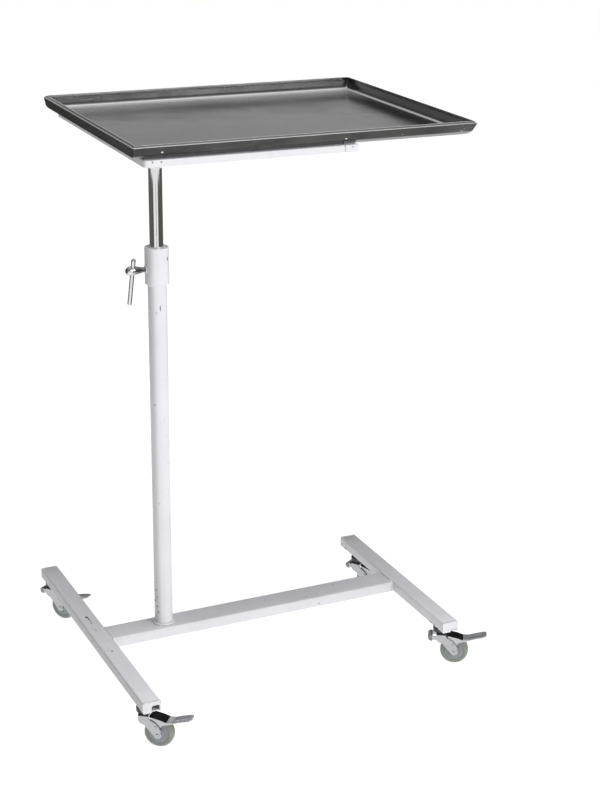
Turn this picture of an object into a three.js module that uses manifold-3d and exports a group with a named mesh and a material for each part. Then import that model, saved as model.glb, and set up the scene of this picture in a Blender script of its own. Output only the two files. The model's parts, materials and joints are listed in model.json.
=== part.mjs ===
// Wheeled instrument table: an H base of painted rectangular tube on four braked swivel
// castors, a telescopic round mast with a screw clamp, and a stainless tray on a tube frame.
// Millimetres, +Z up. The construction is laid out with the mast axis at x = 0, y = 0 and the
// floor at z = 0, and the finished group is moved so that the origin is the middle of the
// overall footprint, on the floor.
import * as THREE from 'three';
import { mergeVertices } from 'three/addons/utils/BufferGeometryUtils.js';
import Module from 'manifold-3d';

// ---------- driving dimensions ----------
const ORIGIN = [230.8515, 109.8595];        // mast axis to footprint middle

const FOOT = { w: 32, h: 20, z0: 74.5, wall: 2, r: 3.2 };
const LEFT = { x: -121, y0: -264, y1: 300 };
const RIGHT = { x: 469, y0: -216, y1: 198 };
const BEAM = { y0: -25, y1: 24.5, z0: 73, z1: 93, wall: 2, r: 3 };
const CAP_T = 3;                         // foot end plates
const GAP = 0.3;                         // clearance kept between touching pieces

const POST = { r: 16, wall: 2, z0: 93.3, z1: 742 };
const COLLAR = { r: 20.4, z0: 723.8, z1: 787, edge: 1 };
const MAST = { r: 11.4, wall: 1.5, z0: 482, z1: 922.2 };
const BUSH = { r: 14.2, z0: 744, z1: 781.2 };
const GLIDE = { r: 13.6, z0: 448, z1: 481.7 };

const CLAMP = { z: 749.6, head: -43, bar: 3.7, up: 22.5, down: 66, tilt: 17 };

const TRAY_TURN = -1.2;                  // the tray's own swivel at rest, degrees
const FRAME = { x0: -23.6, x1: 362.7, y0: -14.2, w: 25, z0: 922.6, h: 12.5, wall: 1.5, y1: 478, r: 2.2 };
const TRAY = { x0: -41.7, x1: 592.4, y0: -16.2, y1: 509.4, z0: 935.4, z1: 955.9, t: 1.4, bend: 5, crest: 4, lean: 4.6, land: 1.6,
  flare: { left: 2.5, right: 9, front: 9, back: 9 } };

const WHEEL = { r: 25.4, w: 19, hubR: 17.2, bore: 3.3 };
const CASTOR = { trail: 25, leg0: 12, leg1: 14.2, webZ: 59.4, webT: 2.4 };
const PIVOT = [22, 40];                  // brake lever pivot: trail, height

const CASTORS = [
  { id: 'front_left', x: -121, y: -230, turn: -38, tail: false },
  { id: 'front_right', x: 470.5, y: -181, turn: -31, tail: true },
  { id: 'rear_left', x: -118, y: 285.5, turn: -55, tail: true },
  { id: 'rear_right', x: 469, y: 148, turn: -58, tail: true },
];

// ---------- materials ----------
const paint = () => new THREE.MeshStandardMaterial({ color: 0xc9c8ce, roughness: 0.45, metalness: 0.0 });
const steel = () => new THREE.MeshStandardMaterial({ color: 0xb9bcc0, roughness: 0.3, metalness: 1.0 });
const chrome = () => new THREE.MeshStandardMaterial({ color: 0xd8dade, roughness: 0.12, metalness: 1.0 });
const zinc = () => new THREE.MeshStandardMaterial({ color: 0xa7a9a9, roughness: 0.4, metalness: 1.0 });
const stainless = () => new THREE.MeshStandardMaterial({ color: 0x5a5c60, roughness: 0.35, metalness: 1.0 });
const tyreMat = () => new THREE.MeshStandardMaterial({ color: 0x84887a, roughness: 0.7, metalness: 0.0 });
const hubMat = () => new THREE.MeshStandardMaterial({ color: 0x7f8a90, roughness: 0.5, metalness: 0.0 });
const nylon = () => new THREE.MeshStandardMaterial({ color: 0xdedcd4, roughness: 0.5, metalness: 0.0 });
const black = () => new THREE.MeshStandardMaterial({ color: 0x17181a, roughness: 0.6, metalness: 0.0 });

// ---------- solid modelling helpers ----------
const wasm = await Module();
wasm.setup();

function solid(geo) {
  const g = geo.index ? geo.clone() : geo.clone();
  for (const k of Object.keys(g.attributes)) if (k !== 'position') g.deleteAttribute(k);
  const m = mergeVertices(g, 1e-4);
  const tri = [];
  const ix = m.index.array;
  for (let i = 0; i < ix.length; i += 3) {
    const a = ix[i], b = ix[i + 1], c = ix[i + 2];
    if (a !== b && b !== c && a !== c) tri.push(a, b, c);
  }
  return new wasm.Manifold(new wasm.Mesh({
    numProp: 3,
    vertProperties: new Float32Array(m.attributes.position.array),
    triVerts: new Uint32Array(tri),
  }));
}
function geometry(man) {
  const m = man.getMesh();
  const pos = new Float32Array(m.numVert * 3);
  for (let i = 0; i < m.numVert; i++) for (let k = 0; k < 3; k++) pos[3 * i + k] = m.vertProperties[i * m.numProp + k];
  const g = new THREE.BufferGeometry();
  g.setAttribute('position', new THREE.BufferAttribute(pos, 3));
  g.setIndex(new THREE.BufferAttribute(new Uint32Array(m.triVerts), 1));
  g.computeVertexNormals();
  return g;
}
const union = (...s) => s.reduce((a, b) => a.add(b));

// rounded rectangle outline, centred
function roundRect(w, h, r, n = 3) {
  const s = new THREE.Shape();
  const pts = [];
  const c = [[w / 2 - r, h / 2 - r, 0], [-w / 2 + r, h / 2 - r, 90], [-w / 2 + r, -h / 2 + r, 180], [w / 2 - r, -h / 2 + r, 270]];
  for (const [cx, cy, a0] of c) for (let i = 0; i <= n; i++) {
    const a = (a0 + 90 * i / n) * Math.PI / 180;
    pts.push(new THREE.Vector2(cx + r * Math.cos(a), cy + r * Math.sin(a)));
  }
  s.setFromPoints(pts);
  return s;
}
const hole = (shape) => new THREE.Path(shape.getPoints().reverse());
function extrude(shape, depth) {
  return new THREE.ExtrudeGeometry(shape, { depth, bevelEnabled: false, curveSegments: 1 });
}
// a rectangular tube: section w (first cross axis) by h (Z), running along 'x' or 'y'
function rectTube(axis, from, to, c, z0, w, h, wall, r) {
  const s = roundRect(w, h, r);
  if (wall > 0) s.holes.push(hole(roundRect(w - 2 * wall, h - 2 * wall, Math.max(0.6, r - wall))));
  const g = extrude(s, to - from);
  if (axis === 'y') {
    g.rotateX(Math.PI / 2);                       // extrusion now runs along -Y, section height along Z
    g.translate(c, to, z0 + h / 2);
  } else {
    g.rotateX(Math.PI / 2);
    g.rotateZ(Math.PI / 2);                       // extrusion along +X
    g.translate(from, c, z0 + h / 2);
  }
  return g;
}
// a closed profile of [radius, z] points turned about Z
function turned(profile, seg) {
  return new THREE.LatheGeometry(profile.map(([r, z]) => new THREE.Vector2(r, z)), seg).rotateX(Math.PI / 2);
}
function rod(r, from, to, seg, axis) {            // a plain shaft along an axis
  const g = new THREE.CylinderGeometry(r, r, to - from, seg);
  if (axis === 'x') g.rotateZ(-Math.PI / 2).translate((from + to) / 2, 0, 0);
  else if (axis === 'y') g.translate(0, (from + to) / 2, 0);
  else g.rotateX(Math.PI / 2).translate(0, 0, (from + to) / 2);
  return g;
}
// side-view outline of [trail, z] points, spread from y0 to y1
function plate(points, y0, y1) {
  const s = new THREE.Shape(points.map(([x, z]) => new THREE.Vector2(x, z)));
  const g = extrude(s, y1 - y0);
  g.rotateX(Math.PI / 2);                         // x stays, z up, thickness along -Y
  g.translate(0, y1, 0);
  return g;
}
// a box whose upper face is larger than its lower one by 'grow' on each side
function flared(x0, x1, y0, y1, z0, z1, grow) {
  const g = new THREE.BoxGeometry(1, 1, 1);
  const p = g.attributes.position;
  for (let i = 0; i < p.count; i++) {
    const up = p.getZ(i) > 0;
    const e = up ? grow : 0;
    p.setXYZ(i, p.getX(i) > 0 ? x1 + e : x0 - e, p.getY(i) > 0 ? y1 + e : y0 - e, up ? z1 : z0);
  }
  return g;
}
function block(x0, x1, y0, y1, z0, z1) {
  return new THREE.BoxGeometry(x1 - x0, y1 - y0, z1 - z0).translate((x0 + x1) / 2, (y0 + y1) / 2, (z0 + z1) / 2);
}

const table = new THREE.Group();
function add(name, geo, material, parent = table) {
  const m = new THREE.Mesh(geo, material);
  m.name = name;
  parent.add(m);
  return m;
}

// ---------- base: two feet, a cross beam, end plates ----------
function foot(side, name) {
  let tube = solid(rectTube('y', side.y0 + CAP_T + GAP, side.y1 - CAP_T - GAP, side.x, FOOT.z0, FOOT.w, FOOT.h, FOOT.wall, FOOT.r));
  for (const c of CASTORS.filter((k) => Math.abs(k.x - side.x) < 20)) {
    tube = tube.subtract(solid(rod(5.7, FOOT.z0 - 3, FOOT.z0 + FOOT.wall + 2, 20, 'z').translate(c.x, c.y, 0)));
  }
  // spanner hole for the castor nut in the side wall, closed by a plug
  const f = CASTORS.find((k) => Math.abs(k.x - side.x) < 20 && k.y < 0);
  tube = tube.subtract(solid(rod(5.3, side.x + 10, side.x + 20, 20, 'x').translate(0, side.y0 + 12, FOOT.z0 + 11)));
  add(name, geometry(tube), paint());
  return f;
}
foot(LEFT, 'left_foot_tube');
foot(RIGHT, 'right_foot_tube');
add('cross_beam', rectTube('x', LEFT.x + FOOT.w / 2 + GAP, RIGHT.x - FOOT.w / 2 - GAP, (BEAM.y0 + BEAM.y1) / 2, BEAM.z0,
  BEAM.y1 - BEAM.y0, BEAM.z1 - BEAM.z0, BEAM.wall, BEAM.r), paint());

// an end plate with a cut-out at a lower corner, where the bolt can be seen
function endPlate(side, front, cutW, cutH, name) {
  const s = roundRect(FOOT.w, FOOT.h, FOOT.r);
  const g = new THREE.ExtrudeGeometry(s, { depth: CAP_T - 1.4, bevelEnabled: true, bevelThickness: 1.4, bevelSize: 1.4, bevelOffset: -1.4, bevelSegments: 2, curveSegments: 1 });
  g.rotateX(Math.PI / 2);
  // the rounded face looks outwards, the flat one sits on the tube
  g.translate(0, CAP_T - 1.4, 0);
  let p = solid(g).intersect(solid(block(-30, 30, -1.4, CAP_T - 1.4, -20, 20)));
  const sx = front ? 1 : -1;
  const edge = FOOT.w / 2 - 2.4;
  const cut = new THREE.Shape();
  cut.moveTo(edge - cutW, -FOOT.h);
  cut.lineTo(edge - cutW, -FOOT.h / 2 + cutH - 3);
  cut.quadraticCurveTo(edge - cutW, -FOOT.h / 2 + cutH, edge - cutW + 3.5, -FOOT.h / 2 + cutH);
  cut.lineTo(edge - 1.5, -FOOT.h / 2 + cutH);
  cut.lineTo(edge, -FOOT.h / 2 + cutH - 1.5);
  cut.lineTo(edge, -FOOT.h);
  const c = new THREE.ExtrudeGeometry(cut, { depth: 12, bevelEnabled: false, curveSegments: 4 }).rotateX(Math.PI / 2).translate(0, 6, 0);
  p = p.subtract(solid(c));
  const out = geometry(p);
  if (front) out.rotateZ(0); else out.rotateZ(Math.PI);
  out.translate(side.x, (front ? side.y0 + 1.4 : side.y1 - 1.4), FOOT.z0 + FOOT.h / 2);
  add(name, out, paint());
  return sx;
}
endPlate(LEFT, true, 14, 12.5, 'left_front_end_plate');
endPlate(LEFT, false, 9, 5, 'left_rear_end_plate');
endPlate(RIGHT, true, 13, 4.5, 'right_front_end_plate');
endPlate(RIGHT, false, 9, 5, 'right_rear_end_plate');

// black plugs in the spanner holes
for (const [side, n] of [[LEFT, 'left_side_plug'], [RIGHT, 'right_side_plug']]) {
  const x = side.x + FOOT.w / 2;
  const g = turned([[0, -4], [4.9, -4], [4.9, GAP], [7.2, GAP], [7.2, 3.4], [5.8, 4.8], [0, 5.4]], 16);
  g.rotateY(Math.PI / 2).translate(x, side.y0 + 12, FOOT.z0 + 11);
  add(n, g, black());
}

// ---------- mast ----------
add('post_weld_bead', turned([[16.35, 93.35], [20.2, 93.35], [19.9, 94.9], [18.6, 96.6], [17, 98.2], [16.35, 98.2], [16.35, 93.35]], 24), paint());
add('outer_post_tube', turned([[POST.r - POST.wall, POST.z0], [POST.r, POST.z0], [POST.r, POST.z1], [POST.r - POST.wall, POST.z1], [POST.r - POST.wall, POST.z0]], 40), paint());
{
  // collar: sits over the post and carries the clamp screw, with the guide bush held inside it
  let c = solid(turned([[POST.r + 0.3, COLLAR.z0], [COLLAR.r - 0.8, COLLAR.z0], [COLLAR.r, COLLAR.z0 + 0.8], [COLLAR.r, COLLAR.z1 - COLLAR.edge],
    [COLLAR.r - COLLAR.edge, COLLAR.z1], [MAST.r + 0.5, COLLAR.z1], [MAST.r + 0.5, BUSH.z1 + 0.3], [BUSH.r + 0.3, BUSH.z1 + 0.3],
    [BUSH.r + 0.3, POST.z1 + 1], [POST.r + 0.3, POST.z1 + 0.4], [POST.r + 0.3, COLLAR.z0]], 36));
  c = c.subtract(solid(rod(4.4, -30, -5, 20, 'x').translate(0, 0, CLAMP.z)));
  add('clamp_collar', geometry(c), paint());
  let b = solid(turned([[MAST.r + 0.3, BUSH.z0], [BUSH.r, BUSH.z0], [BUSH.r, BUSH.z1], [MAST.r + 0.3, BUSH.z1], [MAST.r + 0.3, BUSH.z0]], 28));
  b = b.subtract(solid(rod(4.4, -30, -5, 20, 'x').translate(0, 0, CLAMP.z)));
  add('guide_bush', geometry(b), nylon());
}
add('glide_plug', turned([[0, GLIDE.z0], [GLIDE.r - 1, GLIDE.z0], [GLIDE.r, GLIDE.z0 + 1], [GLIDE.r, GLIDE.z1], [MAST.r - MAST.wall - 0.3, GLIDE.z1],
  [MAST.r - MAST.wall - 0.3, GLIDE.z1 + 16], [0, GLIDE.z1 + 17]], 32), nylon());

// clamp screw with a cross bar, and its pressure pad
{
  const h = CLAMP.head;
  let s = solid(turned([[0, 14.6], [3.9, 14.6], [3.9, 21.5], [4.2, 23], [5.2, 29], [6.9, 36], [7.8, 41], [8.1, 45.5], [7.6, 49.6], [6, 52.9], [3.2, 55], [0, 55.5]], 20)
    .rotateY(-Math.PI / 2));
  const bar = rod(CLAMP.bar + 0.25, -20, 20, 18, 'z').rotateX(CLAMP.tilt * Math.PI / 180).translate(h, 0, 0);
  s = s.subtract(solid(bar));
  const sg = geometry(s).translate(0, 0, CLAMP.z);
  add('clamp_screw', sg, chrome());
  const b = CLAMP.bar;
  add('clamp_tommy_bar', turned([[0, -CLAMP.down], [b * 0.75, -CLAMP.down + 0.4], [b, -CLAMP.down + 1.2], [b, CLAMP.up - 3], [b * 0.8, CLAMP.up - 1], [0, CLAMP.up]], 16)
    .rotateX(CLAMP.tilt * Math.PI / 180).translate(h, 0, CLAMP.z), chrome());
  add('clamp_pressure_pad', rod(3.7, -14.3, -12, 16, 'x').translate(0, 0, CLAMP.z), black());
}

// ---------- everything that swivels with the tray ----------
const swivel = new THREE.Group();
swivel.rotation.z = TRAY_TURN * Math.PI / 180;
table.add(swivel);
add('inner_mast_tube', turned([[MAST.r - MAST.wall, MAST.z0], [MAST.r, MAST.z0], [MAST.r, MAST.z1], [MAST.r - MAST.wall, MAST.z1], [MAST.r - MAST.wall, MAST.z0]], 36), chrome(), swivel);

{
  const F = FRAME;
  // front rail: its left end is the rounded corner of the frame
  const fl = new THREE.Shape();
  const x0 = F.x0, x1 = F.x1 - F.w - GAP, y0 = F.y0, y1 = F.y0 + F.w, R = 7;
  fl.moveTo(x1, y0); fl.lineTo(x1, y1); fl.lineTo(x0, y1); fl.lineTo(x0, y0 + R);
  for (let i = 1; i <= 5; i++) { const a = Math.PI + (Math.PI / 2) * i / 5; fl.lineTo(x0 + R + R * Math.cos(a), y0 + R + R * Math.sin(a)); }
  const front = solid(new THREE.ExtrudeGeometry(fl, { depth: F.h - 1.6, bevelEnabled: true, bevelThickness: 0.8, bevelSize: 0.8, bevelOffset: -0.8, bevelSegments: 1, curveSegments: 1 })
    .translate(0, 0, F.z0 + 0.8));
  const bore = solid(rectTube('x', x0 + 6, x1 + 5, F.y0 + F.w / 2, F.z0 + F.wall, F.w - 2 * F.wall, F.h - 2 * F.wall, 0, 0.8));
  add('frame_front_rail', geometry(front.subtract(bore)), paint(), swivel);
  add('frame_left_rail', rectTube('y', y1 + GAP, F.y1, F.x0 + F.w / 2, F.z0, F.w, F.h, F.wall, F.r), paint(), swivel);
  add('frame_right_rail', rectTube('y', F.y0 + 2 + GAP, F.y1, F.x1 - F.w / 2, F.z0, F.w, F.h, F.wall, F.r), paint(), swivel);
  add('frame_back_rail', rectTube('x', F.x0 + F.w + GAP, F.x1 - F.w - GAP, F.y1 - F.w / 2, F.z0, F.w, F.h, F.wall, F.r), paint(), swivel);
  // square plate closing the front end of the right rail
  const e = new THREE.ExtrudeGeometry(roundRect(F.w, F.h, F.r), { depth: 1.2, bevelEnabled: true, bevelThickness: 0.4, bevelSize: 0.4, bevelOffset: -0.4, bevelSegments: 1, curveSegments: 1 });
  e.rotateX(Math.PI / 2).translate(F.x1 - F.w / 2, F.y0 + 1.6, F.z0 + F.h / 2);
  add('frame_end_plate', e, paint(), swivel);
}
{
  // tray: pressed sheet with a wide bend into leaning walls. The top edge is folded over
  // into a hem that slopes up from the outer edge to a crest further in.
  const T = TRAY, f = T.flare;
  // a slab whose lower and upper outlines are the tray's rectangle moved in by four insets
  const slab = (i0, za, i1, zb) => {
    const g = new THREE.BoxGeometry(1, 1, 1);
    const p = g.attributes.position;
    for (let i = 0; i < p.count; i++) {
      const q = p.getZ(i) > 0 ? i1 : i0;
      p.setXYZ(i, p.getX(i) > 0 ? T.x1 - q.right : T.x0 + q.left, p.getY(i) > 0 ? T.y1 - q.back : T.y0 + q.front, p.getZ(i) > 0 ? zb : za);
    }
    return solid(g);
  };
  const inset = (z, plus) => {
    const k = (T.z1 - z) / (T.z1 - T.z0), o = {};
    for (const side of Object.keys(f)) o[side] = f[side] * k + plus;
    return o;
  };
  const even = (v) => ({ left: v, right: v, front: v, back: v });
  const zb = T.z0 + T.bend, zk = T.z1 - 2.6, zc = T.z1 + T.crest;
  const outer = slab(inset(T.z0, T.bend), T.z0, inset(zb, 0), zb).add(slab(inset(zb, 0), zb, inset(T.z1, 0), T.z1)).add(slab(even(0), T.z1, even(T.lean), zc));
  const grow = (a, b, k) => Object.fromEntries(Object.keys(a).map((s) => [s, a[s] + (b[s] - a[s]) * k]));
  const top = even(T.lean + T.land), knee = inset(zk, T.t);
  const inner = slab(inset(T.z0 + T.t, T.bend + 0.9), T.z0 + T.t, inset(zb + 0.6, T.t), zb + 0.6)
    .add(slab(inset(zb + 0.6, T.t), zb + 0.6, knee, zk))
    .add(slab(knee, zk, grow(knee, top, (zc + 1 - zk) / (zc - zk)), zc + 1));
  const tray = outer.subtract(inner);
  add('tray', geometry(tray), stainless(), swivel);
}

// ---------- castors ----------
function castor(c) {
  const g = new THREE.Group();
  g.position.set(c.x, c.y, 0);
  g.rotation.z = c.turn * Math.PI / 180;
  table.add(g);
  const n = (s) => `castor_${c.id}_${s}`;
  const ax = CASTOR.trail, az = WHEEL.r;
  const W = CASTOR;

  // kingpin: riveted below the fork, race plate above it, threaded stem into the foot
  add(n('stem'), turned([[0, 55.4], [7.4, 55.8], [7.4, 58.4], [5.2, 58.8], [5.2, 62.2], [15, 62.6], [15, 66.2], [9.6, 70],
    [9.4, 74.2], [5.2, 74.2], [5.2, 91], [0, 91]], 16), zinc(), g);
  {
    const nut = new THREE.Shape();
    for (let i = 0; i < 6; i++) { const a = Math.PI / 6 + i * Math.PI / 3; const r = 9.2; i ? nut.lineTo(r * Math.cos(a), r * Math.sin(a)) : nut.moveTo(r * Math.cos(a), r * Math.sin(a)); }
    const h = new THREE.Path(); for (let i = 0; i < 14; i++) { const a = -i * Math.PI / 7; i ? h.lineTo(5.6 * Math.cos(a), 5.6 * Math.sin(a)) : h.moveTo(5.6, 0); } nut.holes.push(h);
    add(n('nut'), new THREE.ExtrudeGeometry(nut, { depth: 7.5, bevelEnabled: false, curveSegments: 1 }).translate(0, 0, FOOT.z0 + FOOT.wall + GAP), zinc(), g);
  }
  // fork: two slanted legs under a flat web with a folded rear edge
  {
    const tip = [];
    for (let i = 0; i <= 6; i++) { const a = (-158 + 196 * i / 6) * Math.PI / 180; tip.push([ax + 7 * Math.cos(a), az + 7 * Math.sin(a)]); }
    const leg = [[-7.5, 61.8], [-8.2, 60], [-8.2, 50], [-6.8, 46], [-3, 43.6], [2.4, 41.7], [13.1, 30.5], ...tip, [31.2, 33.5], [27, 41], [20.7, 47.5], [12.5, 52], [9.5, 56], [9.5, 61.8]];
    const L = solid(plate(leg, W.leg0, W.leg1));
    const Rr = solid(plate(leg, -W.leg1, -W.leg0));
    const web = solid(block(-8.2, 9.5, -W.leg1, W.leg1, W.webZ, W.webZ + W.webT));
    let f = union(L, Rr, web);
    f = f.subtract(solid(rod(5.6, 50, 70, 16, 'z')));
    f = f.subtract(solid(rod(3.4, -20, 20, 14, 'y').translate(ax, 0, az)));
    f = f.subtract(solid(rod(1.95, -20, 20, 10, 'y').translate(PIVOT[0], 0, PIVOT[1])));
    add(n('fork'), geometry(f), zinc(), g);
  }
  // wheel: rubber tyre on a moulded hub, turning on the axle
  {
    const w = WHEEL.w / 2, R = WHEEL.r;
    const t = turned([[WHEEL.hubR + 0.2, -w + 0.3], [R - 4, -w], [R - 0.9, -w + 2.8], [R, -4], [R, 4], [R - 0.9, w - 2.8], [R - 4, w],
      [WHEEL.hubR + 0.2, w - 0.3], [WHEEL.hubR + 0.2, -w + 0.3]], 32).rotateX(Math.PI / 2).translate(ax, 0, az);
    add(n('tyre'), t, tyreMat(), g);
    const hb = turned([[WHEEL.bore, -9.8], [6, -9.8], [6.8, -8.6], [12.6, -8], [WHEEL.hubR - 0.1, -8.8], [WHEEL.hubR - 0.1, 8.8], [12.6, 8], [6.8, 8.6], [6, 9.8], [WHEEL.bore, 9.8], [WHEEL.bore, -9.8]], 24)
      .rotateX(Math.PI / 2).translate(ax, 0, az);
    add(n('hub'), hb, hubMat(), g);
  }
  add(n('axle'), turned([[0, -15.6], [3.0, -15], [3.0, 15], [0, 15.6]], 14).rotateX(Math.PI / 2).translate(ax, 0, az), zinc(), g);

  // brake lever: a channel over the wheel that ends in a foot pedal
  {
    const i = 10.1, o = 11.7;
    const side = [[17, 36], [22, 34.6], [27, 36], [33.5, 43.2], [46, 44.2], [58, 46.2], [62, 48.5], [80, 54.5], [82, 57.5], [81, 59.5], [62, 54.5], [50, 50.6], [40, 50.2], [30, 53.6], [12.5, 57.2], [12.5, 53.6], [17, 45]];
    const top = [[12.5, 57.2], [12.5, 55.4], [30, 51.9], [40, 48.4], [51, 48.8], [62, 52.4], [81, 57.6], [82.5, 58.4], [81, 59.5], [62, 54.5], [50, 50.6], [40, 50.2], [30, 53.6]];
    let b = union(solid(plate(side, i, o)), solid(plate(side, -o, -i)), solid(plate(top, -o, o)));
    // the pedal's folded nose
    b = b.add(solid(plate([[79.4, 54.6], [81.6, 55.2], [83.2, 58], [81, 59.5], [79.4, 59.1]], -o, o)));
    if (c.tail) {
      // heel of the lever: its flanges run back beside the kingpin and close behind it
      const arm = [[17, 44], [17, 49.5], [9, 53.2], [-12, 54.6], [-20.5, 56.4], [-23.8, 53], [-22, 46.5], [-16.6, 44.4], [-14.2, 47], [-8, 47.5], [9, 46]];
      const heel = [[-15.6, 45], [-14.8, 48.8], [-15.6, 55.2], [-20.5, 56.4], [-23.8, 53], [-22, 46.5], [-16.6, 44.4]];
      b = b.add(solid(plate(arm, i, o))).add(solid(plate(arm, -o, -i))).add(solid(plate(heel, -o, o)));
    }
    b = b.subtract(solid(rod(1.95, -20, 20, 10, 'y').translate(PIVOT[0], 0, PIVOT[1])));
    add(n('brake_pedal'), geometry(b), zinc(), g);
  }
  // pivot rivets of the brake lever, one in each leg
  for (const s of [-1, 1]) {
    const r = turned([[0, 10.0], [1.6, 10.0], [1.6, 14.5], [2.8, 14.5], [0, 15.5]], 10);
    r.rotateX(s > 0 ? -Math.PI / 2 : Math.PI / 2).translate(PIVOT[0], 0, PIVOT[1]);
    add(n(s > 0 ? 'rivet_a' : 'rivet_b'), r, zinc(), g);
  }
}
CASTORS.forEach(castor);

table.position.set(-ORIGIN[0], -ORIGIN[1], 0);
table.updateMatrixWorld(true);

const object = new THREE.Group();
object.add(table);
export default object;
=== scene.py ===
import bpy
import bmesh
import json
import math
from mathutils import Vector, Matrix, noise

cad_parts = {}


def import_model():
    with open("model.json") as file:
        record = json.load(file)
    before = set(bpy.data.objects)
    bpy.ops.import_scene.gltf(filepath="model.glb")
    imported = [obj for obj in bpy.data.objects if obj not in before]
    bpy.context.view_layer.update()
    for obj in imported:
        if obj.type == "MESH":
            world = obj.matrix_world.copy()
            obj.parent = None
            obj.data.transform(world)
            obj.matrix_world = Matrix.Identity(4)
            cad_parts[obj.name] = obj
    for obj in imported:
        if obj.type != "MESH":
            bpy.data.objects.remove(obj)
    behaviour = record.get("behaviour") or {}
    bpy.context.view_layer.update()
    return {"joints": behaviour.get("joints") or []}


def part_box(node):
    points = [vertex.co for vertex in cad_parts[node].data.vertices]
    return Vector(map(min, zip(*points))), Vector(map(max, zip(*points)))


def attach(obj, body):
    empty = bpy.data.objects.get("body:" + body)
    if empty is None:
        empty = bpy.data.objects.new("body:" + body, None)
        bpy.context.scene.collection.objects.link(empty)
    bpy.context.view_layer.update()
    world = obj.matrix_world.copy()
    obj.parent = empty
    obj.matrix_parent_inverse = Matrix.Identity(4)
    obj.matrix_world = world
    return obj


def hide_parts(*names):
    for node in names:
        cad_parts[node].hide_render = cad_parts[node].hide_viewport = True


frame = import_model()

scene = bpy.context.scene
PI = math.pi

# ------------------------------------------------------------------ placing
# Shapes are laid out in millimetres about the mast axis, floor at z = 0, as the part is drawn.
_lo, _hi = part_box("outer_post_tube")
MX, MY = (_lo.x + _hi.x) / 2, (_lo.y + _hi.y) / 2
TURN = math.radians(-1.2)
JOINT = {j["name"]: j for j in frame["joints"]}


def place(p):
    return Vector((MX + p[0] * 0.001, MY + p[1] * 0.001, p[2] * 0.001))


def place_top(p):
    c, s = math.cos(TURN), math.sin(TURN)
    return place((p[0] * c - p[1] * s, p[0] * s + p[1] * c, p[2]))


def castor_place(cid):
    o = JOINT[cid + "_swivel"]["pos_m"]
    a = JOINT[cid + "_roll"]["axis"]
    t = math.atan2(-a[0], a[1])
    c, s = math.cos(t), math.sin(t)

    def f(p):
        return Vector((o[0] + (p[0] * c - p[1] * s) * 0.001, o[1] + (p[0] * s + p[1] * c) * 0.001, p[2] * 0.001))
    return f


# ------------------------------------------------------------------ mesh code
class M:
    def __init__(self):
        self.v, self.f = [], []

    def add(self, v, f):
        k = len(self.v)
        self.v += [tuple(p) for p in v]
        self.f += [tuple(i + k for i in q) for q in f]
        return self

    def move(self, fn):
        self.v = [tuple(fn(p)) for p in self.v]
        return self


def obj(name, mesh, put, mat, body, nodes=(), bevel=0.0, segs=3, sharp=32, limit=40, pick=None):
    me = bpy.data.meshes.new(name)
    me.from_pydata([put(p) for p in mesh.v], [], mesh.f)
    bm = bmesh.new()
    bm.from_mesh(me)
    bmesh.ops.remove_doubles(bm, verts=bm.verts, dist=2e-6)
    bmesh.ops.dissolve_degenerate(bm, edges=bm.edges, dist=1e-6)
    bmesh.ops.recalc_face_normals(bm, faces=bm.faces)
    bm.to_mesh(me)
    bm.free()
    me.validate()
    for p in me.polygons:
        p.use_smooth = True
    o = bpy.data.objects.new(name, me)
    scene.collection.objects.link(o)
    me.materials.append(mat)
    if bevel:
        b = o.modifiers.new("edges", "BEVEL")
        b.width = bevel * 0.001
        b.segments = segs
        b.limit_method = "ANGLE"
        b.angle_limit = math.radians(limit)
        b.harden_normals = True
        b.use_clamp_overlap = True
        if pick:
            b.limit_method = "WEIGHT"
            at = me.attributes.new("bevel_weight_edge", "FLOAT", "EDGE")
            for e in me.edges:
                at.data[e.index].value = 1.0 if all(pick(me.vertices[i].co) for i in e.vertices) else 0.0
    else:
        me.set_sharp_from_angle(angle=math.radians(sharp))
    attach(o, body)
    if nodes:
        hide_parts(*nodes)
    return o


def fillet(pts, r, n=4, closed=True):
    """rounds the corners of a 2-D outline; r is one radius or one per point"""
    out = []
    N = len(pts)
    for i, p in enumerate(pts):
        ri = r[i] if isinstance(r, (list, tuple)) else r
        if ri <= 0 or (not closed and i in (0, N - 1)):
            out.append(p)
            continue
        a, b = pts[i - 1], pts[(i + 1) % N]
        u = Vector((a[0] - p[0], a[1] - p[1]))
        w = Vector((b[0] - p[0], b[1] - p[1]))
        lu, lw = u.length, w.length
        if lu < 1e-6 or lw < 1e-6:
            continue
        u /= lu
        w /= lw
        ang = math.acos(max(-1, min(1, u.dot(w))))
        if ang > PI - 0.05:
            out.append(p)
            continue
        d = min(ri / math.tan(ang / 2), lu * 0.48, lw * 0.48)
        rr = d * math.tan(ang / 2)
        bis = (u + w).normalized()
        c = Vector(p) + bis * (rr / math.sin(ang / 2))
        s = Vector(p) + u * d - c
        e = Vector(p) + w * d - c
        a0, a1 = math.atan2(s.y, s.x), math.atan2(e.y, e.x)
        da = (a1 - a0 + PI) % (2 * PI) - PI
        for k in range(n + 1):
            t = a0 + da * k / n
            out.append((c.x + rr * math.cos(t), c.y + rr * math.sin(t)))
    return out


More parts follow.
